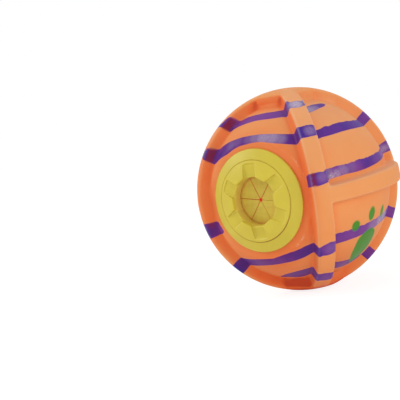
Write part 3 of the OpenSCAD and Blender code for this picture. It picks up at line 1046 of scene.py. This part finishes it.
@dataclass
class Mouth:
    """The collar, the cap that screws into it and the ring under the cap.

    Lengths are in millimetres, and a span goes from where something starts to where it is full.
    """

    collar_form: SoftCopy = SoftCopy(voxel=0.0003, rounding=4)
    cap_form: SoftCopy = SoftCopy(voxel=0.00028, rounding=3)
    finish: MouldedPlastic = MouldedPlastic()
    seam_r: float = 21.3                # the seam between the two
    seam_fill: float = 0.185            # how much of its width the moulded edges take up
    head_span: Span = (-0.9, -0.3)      # from the seam, the rim of the cap's head that grows to it
    head_out: float = 38.6              # how far out the head starts
    throat_span: Span = (15.2, 13.6)    # the throat's edge, by radius and by how far out it lies
    throat_out: Span = (37.6, 38.6)
    throat_steps: int = 14              # extra smoothing steps there
    throat_levels: int = 10
    seam_dark_at: float = -64.0              # angle round the mouth where the seam's line is darkest, with painted shade away from the light
    seam_shares: Span = (0.16, 0.6)     # all round, and more at that angle
    seam_width: float = 0.26
    face_span: Span = (13.4, 20.8)      # the radii between which the finger recesses lie
    face_out: float = 38.0
    rows: int = 100                     # rings over which the raised lands' height is looked up
    rows_per_mm: int = 4
    lit_side: tuple[float, float, float] = (-0.6, 0.0, 0.8)    # the side from which light falls on the walls of the finger recesses
    wall: Span = (0.5, 0.5)             # depth below the raised lands and width of a wall
    wall_span: Span = (0.1, 0.3)
    rise_span: Span = (0.05, 0.5)       # how far a wall faces that side
    lip_share: float = 0.35             # how strongly walls differ: painted highlight on those facing the light, painted shade on those facing away
    pocket_span: Span = (0.25, 1.6)     # depth below the lands
    pocket_share: float = 0.13          # how much painted shade darkens the recesses' floors
    collar_share: float = 0.08          # how much darker the collar's plastic came out than the cap's
    bore_span: Span = (14.2, 12.9)      # the throat's wall, by radius and by how far out it lies
    bore_out: Span = (42.0, 40.0)
    bore_start: float = 35.0
    bore_low: Span = (-4.0, -11.0)      # below the middle, where the painted tint on the throat's lower side is weaker
    bore_low_share: float = 0.35

    def seam_shade(self, piece: bpy.types.Object) -> None:
        """Stores how strongly each point beside the seam between collar and cap takes the seam's colour: a
        dark joint line all round, and painted shade on the side away from the light.

        Args:
            piece: The collar or the cap.
        """
        x, _, z = points_of(piece).T
        # Painted shade: the line darkens most on the side away from the light.
        toward = 0.5 + 0.5 * np.cos(np.arctan2(z, x) - math.radians(self.seam_dark_at))
        least, more = self.seam_shares
        seam_share = (least + more * toward ** 4) * bell(self.seam_r, self.seam_width, np.hypot(x, z))
        set_field(piece, "seam", seam_share)

    def pocket_shade(self, cap: bpy.types.Object) -> None:
        """Stores painted shade on the cap's face by how far each point lies below its raised lands,
        painted highlight and shade on the walls by which way they face, and a painted tint on its throat.

        Args:
            cap: The cap.
        """
        x, y, z = points_of(cap).T
        ring, out = np.hypot(x, z), -y
        row = np.clip((ring * self.rows_per_mm).astype(int), 0, self.rows - 1)
        land = np.zeros(self.rows)
        np.maximum.at(land, row, out)
        inner, outer = self.face_span
        drop = np.where((ring > inner) & (ring < outer) & (out > self.face_out), land[row] - out, 0)
        flat = np.empty(len(x) * 3)
        cap.data.vertices.foreach_get("normal", flat)
        rise = flat.reshape(-1, 3) @ np.array(self.lit_side)
        # Painted highlight on walls that face the light, painted shade on those that face away.
        wall = self.lip_share * bell(*self.wall, drop) * smooth_step(*self.wall_span, drop)
        set_field(cap, "lip", wall * smooth_step(*self.rise_span, rise))
        set_field(cap, "shade_and_tone", self.pocket_share * smooth_step(*self.pocket_span, drop)
                  + wall * smooth_step(*self.rise_span, -rise))
        # A painted tint for the light inside the throat, weaker on its lower side.
        painted_throat_tint = smooth_step(*self.bore_span, ring) * smooth_step(*self.bore_out, out) * (out > self.bore_start)
        set_field(cap, "painted_throat_tint", painted_throat_tint * (1 - self.bore_low_share * smooth_step(*self.bore_low, z)))

    def close_seam(self, cap: bpy.types.Object) -> None:
        """Widens the cap's head a little, so that the seam shows as a hairline.

        Args:
            cap: The cap.
        """
        points = points_of(cap)
        x, y, z = points.T
        ring = np.maximum(np.hypot(x, z), TINY)
        grow = self.seam_fill * smooth_step(*self.head_span, ring - self.seam_r) * (-y > self.head_out)
        points[:, ::2] *= (1 + grow / ring)[:, None]
        set_points(cap, points)

    def ease_throat(self, cap: bpy.types.Object) -> None:
        """Rounds the throat's edge more than the rest of the cap.

        Args:
            cap: The cap.
        """
        x, y, z = points_of(cap).T
        share = smooth_step(*self.throat_span, np.hypot(x, z)) * smooth_step(*self.throat_out, -y)
        group = cap.vertex_groups.new(name="throat_edge")
        for level in range(1, self.throat_levels + 1):
            rows = np.nonzero(np.rint(share * self.throat_levels) == level)[0]
            group.add(rows.tolist(), level / self.throat_levels, "REPLACE")
        relax = cap.modifiers.new("ease", "SMOOTH")
        relax.factor, relax.iterations, relax.vertex_group = RELAX, self.throat_steps, group.name
        apply_modifiers(cap)
        cap.vertex_groups.clear()

    def build(self) -> list[bpy.types.Object]:
        """Makes and dresses the three parts.

        Returns:
            The collar, the cap and the ring.
        """
        plastic = self.finish.make()
        collar = self.collar_form.make("mouth_collar", "collar_ring")
        set_field(collar, "shade_and_tone", np.full(len(collar.data.vertices), self.collar_share))
        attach(collar, Body.BALL.value)
        cap = self.cap_form.make("twist_cap", "cap_disc")
        self.close_seam(cap)
        self.ease_throat(cap)
        self.pocket_shade(cap)
        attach(cap, Body.CAP.value)
        for piece in (collar, cap):
            self.seam_shade(piece)
            dress(piece, plastic)
        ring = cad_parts["clamp_ring"]
        ring.data.materials.clear()
        ring.data.materials.append(plastic)
        LOG.info("clamp_ring: kept from the frame, %s", plastic.name)
        return [collar, cap, ring]


@dataclass
class Diaphragm:
    """The slit rubber disc, a rim under the cap and six leaves, in millimetres and degrees."""

    middle: float = 35.2282    # how far out from the ball's centre the sheet's middle lies
    thick: float = 1.6
    outer_r: float = 15.1
    split_r: float = 12.9      # where the rim ends and the leaves begin, under the cap
    split_gap: float = 0.02
    rim_soft: float = 0.25     # bevel of the rim's outer edges
    rim_steps: int = 96
    tip_r: float = 0.05        # the hole left at the eye
    slit: float = 0.07         # width of a cut
    first: float = -8.5        # angle of the first cut, from right towards up
    leaves: int = 6
    leaf_steps: int = 24       # pieces of a leaf's outer edge
    side_steps: int = 14       # pieces of its cut sides
    form: SoftCopy = SoftCopy(voxel=0.0002, rounding=2)
    stained: tuple[float, ...] = (0.0, 1.0, 1.0, 1.0, 1.0, 0.12)    # how strongly, from the first cut on
    stained_r: float = 12.7    # how far out the cuts stain the sheet
    clear: float = 9.0         # given as the distance from a cut where nothing is stained
    root_r: float = 11.6       # where a leaf stops following the rim
    free_r: float = 8.4        # where it follows its flap alone
    finish: SlitRubber = SlitRubber()

    def at(self, radius: float, angle: float, out: float = 0.0) -> Vector:
        """Gives the place in metres at a radius and angle on the disc, raised by out."""
        turn = math.radians(angle)
        return Vector((radius * math.cos(turn), -(self.middle + out), BALL_R + radius * math.sin(turn))) * MM

    def solid(self, name: str, rings: list[list[Vector]], closed: bool) -> bpy.types.Object:
        """Joins rings of points to a solid.

        Args:
            name: The piece's name.
            rings: Equally long rings of places in metres.
            closed: Whether the last ring joins the first, or else both get a face.

        Returns:
            The new piece.
        """
        mesh = bpy.data.meshes.new(name)
        form = bmesh.new()
        rows = [[form.verts.new(place) for place in ring] for ring in rings]
        if not closed:
            form.faces.new(rows[0])
            form.faces.new(rows[-1][::-1])
        for low, high in zip(rows, rows[1:] + rows[:1] if closed else rows[1:]):
            for i in range(len(low)):
                j = (i + 1) % len(low)
                form.faces.new((low[j], low[i], high[i], high[j]))
        bmesh.ops.recalc_face_normals(form, faces=form.faces)
        form.to_mesh(mesh)
        form.free()
        mesh.shade_smooth()
        return new_object(name, mesh)

    def fields(self, piece: bpy.types.Object) -> None:
        """Stores each point's distance from the nearest cut and from the eye.

        Args:
            piece: The rim or a leaf.
        """
        x, _, z = points_of(piece).T
        radius = np.hypot(x, z)
        turn = np.degrees(np.arctan2(z, x)) - self.first
        step = 360 / self.leaves
        off = np.abs((turn + step / 2) % step - step / 2)
        cut = radius * np.sin(np.radians(np.minimum(off, 90)))
        set_field(piece, "cut_mm", np.where(radius < self.stained_r, cut, self.clear))
        set_field(piece, "eye_mm", radius)
        nearest = np.rint(turn / step).astype(int) % self.leaves
        set_field(piece, "cut_share", np.array(self.stained)[nearest])

    def leaf(self, number: int) -> bpy.types.Object:
        """Builds one leaf between two cuts.

        Args:
            number: Which leaf, from 1.

        Returns:
            The leaf.
        """
        step = 360 / self.leaves
        start, half = self.first + (number - 1) * step, step / 2
        apex = self.slit / 2 / math.sin(math.radians(half))
        reach = self.split_r - self.split_gap
        side = math.degrees(math.asin(self.slit / 2 / reach))
        arc = [(reach, start + side + (step - 2 * side) * i / self.leaf_steps)
               for i in range(self.leaf_steps + 1)]
        cut = []
        for i in range(1, self.side_steps + 1):
            along = reach + (self.tip_r + apex - reach) * i / self.side_steps
            cut.append((along, math.degrees(math.asin(self.slit / 2 / along))))
        outline = arc + [(r, start + step - a) for r, a in cut] + [(r, start + a) for r, a in cut[::-1]]
        piece = self.solid(f"leaf_{number}", [[self.at(r, a, out) for r, a in outline]
                                              for out in (-self.thick / 2, self.thick / 2)], closed=False)
        self.form.soften(piece)
        self.fields(piece)
        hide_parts(f"flap_{number}")
        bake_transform(piece)
        return piece

    def rim(self) -> bpy.types.Object:
        """Builds the clamped rim as a turned band with bevelled edges.

        Returns:
            The rim.
        """
        half, soft = self.thick / 2, self.rim_soft
        profile = [(self.split_r, -half), (self.outer_r - soft, -half), (self.outer_r, -half + soft),
                   (self.outer_r, half - soft), (self.outer_r - soft, half), (self.split_r, half)]
        piece = self.solid("disc_rim", [[self.at(r, 360 * i / self.rim_steps, out) for r, out in profile]
                                        for i in range(self.rim_steps)], closed=True)
        self.fields(piece)
        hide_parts("diaphragm_rim")
        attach(piece, Body.DIAPHRAGM.value)
        return piece

    def build(self) -> list[bpy.types.Object]:
        """Makes and dresses the rim and the leaves.

        Returns:
            The pieces.
        """
        rubber = self.finish.make()
        pieces = [self.rim()] + [self.leaf(number) for number in range(1, self.leaves + 1)]
        for piece in pieces:
            dress(piece, rubber)
        return pieces


# Studio

@dataclass(frozen=True)
class Softbox:
    """A square soft lamp aimed at the ball.

    Attributes:
        azimuth: Degrees about the ball.
        elevation: Degrees above its middle.
        size: Side in metres.
        level: What a white card facing it would show.
        distance: Metres from the ball.
    """

    azimuth: float
    elevation: float
    size: float
    level: float
    distance: float = 0.9

    def build(self, name: str) -> bpy.types.Object:
        """Places the lamp.

        Args:
            name: The lamp's name.

        Returns:
            The lamp.
        """
        lamp = bpy.data.lights.new(name, "AREA")
        lamp.shape, lamp.size = "SQUARE", self.size
        lamp.energy = self.level * math.pi ** 2 * self.distance ** 2
        out = Vector(direction(self.azimuth, self.elevation))
        piece = new_object(name, lamp)
        piece.location = Vector(CENTRE) + out * self.distance
        piece.rotation_euler = out.to_track_quat("Z", "Y").to_euler()
        return piece


@dataclass
class Studio:
    """The white sweep, the lamps and the camera.

    Attributes:
        lamps: The soft lamps.
        ambient: Level of the even light from all round.
        floor_reach: Half the floor's side in metres.
        floor_bounce: Grey of the floor as the ball sees it.
        floor_lift: Light that comes up through the paper, as from a light table.
        floor_card: Grey of the floor as the camera sees it, which takes the shadow.
        floor_glow: Light that whitens it there.
        camera_at: Camera place in metres.
        right, up, back: The camera's own axes.
        lens: Focal length in millimetres.
        sensor: The film's width in millimetres.
        clip: Metres from the camera between which things show.
    """

    lamps: tuple[Softbox, ...] = (
        Softbox(azimuth=-8, elevation=10, size=0.50, level=0.238),
        Softbox(azimuth=-58, elevation=8, size=0.70, level=0.172),
        Softbox(azimuth=-148, elevation=32, size=0.32, level=0.29),
        Softbox(azimuth=95, elevation=71, size=0.35, level=0.10),
    )
    ambient: float = 0.50
    floor_reach: float = 6.0
    floor_bounce: float = 0.85
    floor_lift: float = 0.12
    floor_card: float = 0.3
    floor_glow: float = 0.86
    camera_at: tuple[float, float, float] = (0.28473, -0.43676, 0.09839)
    right: tuple[float, float, float] = (0.77389, 0.60945, -0.17223)
    up: tuple[float, float, float] = (0.08632, 0.16790, 0.98202)
    back: tuple[float, float, float] = (0.62741, -0.77484, 0.07732)
    lens: float = 86.03
    sensor: float = 36.0
    clip: Span = (0.02, 50.0)

    def seen_share(self, add: Callable[..., bpy.types.Node]) -> bpy.types.Node:
        """Gives 1 for rays that show the background: camera, glossy and transmission.

        Args:
            add: Adds a node to the tree.

        Returns:
            The node that gives it.
        """
        path = add("LightPath").outputs
        first = add("Math", {0: path["Is Camera Ray"], 1: path["Is Glossy Ray"]}, operation="MAXIMUM")
        return add("Math", {0: first, 1: path["Is Transmission Ray"]}, operation="MAXIMUM")

    def world(self) -> None:
        """Sets an even grey light that looks white where it is seen."""
        world = bpy.data.worlds.new("studio_air")
        bpy.context.scene.world = world
        world.use_nodes = True
        world.node_tree.nodes.clear()
        add = partial(add_node, world.node_tree)
        grey, white = (add("Background", {"Color": WHITE, "Strength": level})
                       for level in (self.ambient, 1.0))
        mix = add("MixShader", {0: self.seen_share(add), 1: grey, 2: white})
        add("OutputWorld", {"Surface": mix})

    def floor(self) -> bpy.types.Object:
        """Lays the pale floor, which keeps the ball's shadow.

        Returns:
            The floor.
        """
        mesh = bpy.data.meshes.new("studio_floor")
        far = self.floor_reach
        mesh.from_pydata([(-far, -far, 0), (far, -far, 0), (far, far, 0), (-far, far, 0)], [], [(0, 1, 2, 3)])
        piece = new_object("studio_floor", mesh)
        material, add = new_material("paper_sweep_white")
        looks = []
        for grey, light in ((self.floor_bounce, self.floor_lift), (self.floor_card, self.floor_glow)):
            paper = add("BsdfDiffuse", {"Color": (grey, grey, grey, 1)})
            glow = add("Emission", {"Color": WHITE, "Strength": light})
            looks.append(add("AddShader", {0: paper, 1: glow}))
        mix = add("MixShader", {0: self.seen_share(add), 1: looks[0], 2: looks[1]})
        add("OutputMaterial", {"Surface": mix})
        mesh.materials.append(material)
        return piece

    def camera(self) -> bpy.types.Object:
        """Sets the camera where the photograph was taken from.

        Returns:
            The camera.
        """
        lens = bpy.data.cameras.new("view")
        lens.sensor_fit, lens.sensor_width, lens.lens = "HORIZONTAL", self.sensor, self.lens
        lens.clip_start, lens.clip_end = self.clip
        piece = new_object("view", lens)
        turn = Matrix((self.right, self.up, self.back)).transposed().to_4x4()
        piece.matrix_world = Matrix.Translation(self.camera_at) @ turn
        bpy.context.scene.camera = piece
        return piece

    def build(self) -> None:
        """Sets up the light, the floor and the camera."""
        self.camera()
        self.world()
        self.floor()
        for number, lamp in enumerate(self.lamps, 1):
            lamp.build(f"softbox_{number}")
        bpy.context.scene.view_settings.view_transform = "Standard"


def main() -> None:
    """Builds every sub-assembly."""
    logging.basicConfig(level=logging.INFO, format="%(name)s: %(message)s")
    Studio().build()
    BallShell().build()
    Mouth().build()
    Diaphragm().build()
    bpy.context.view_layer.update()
    LOG.info("sizes written")


if __name__ == "__main__":
    main()
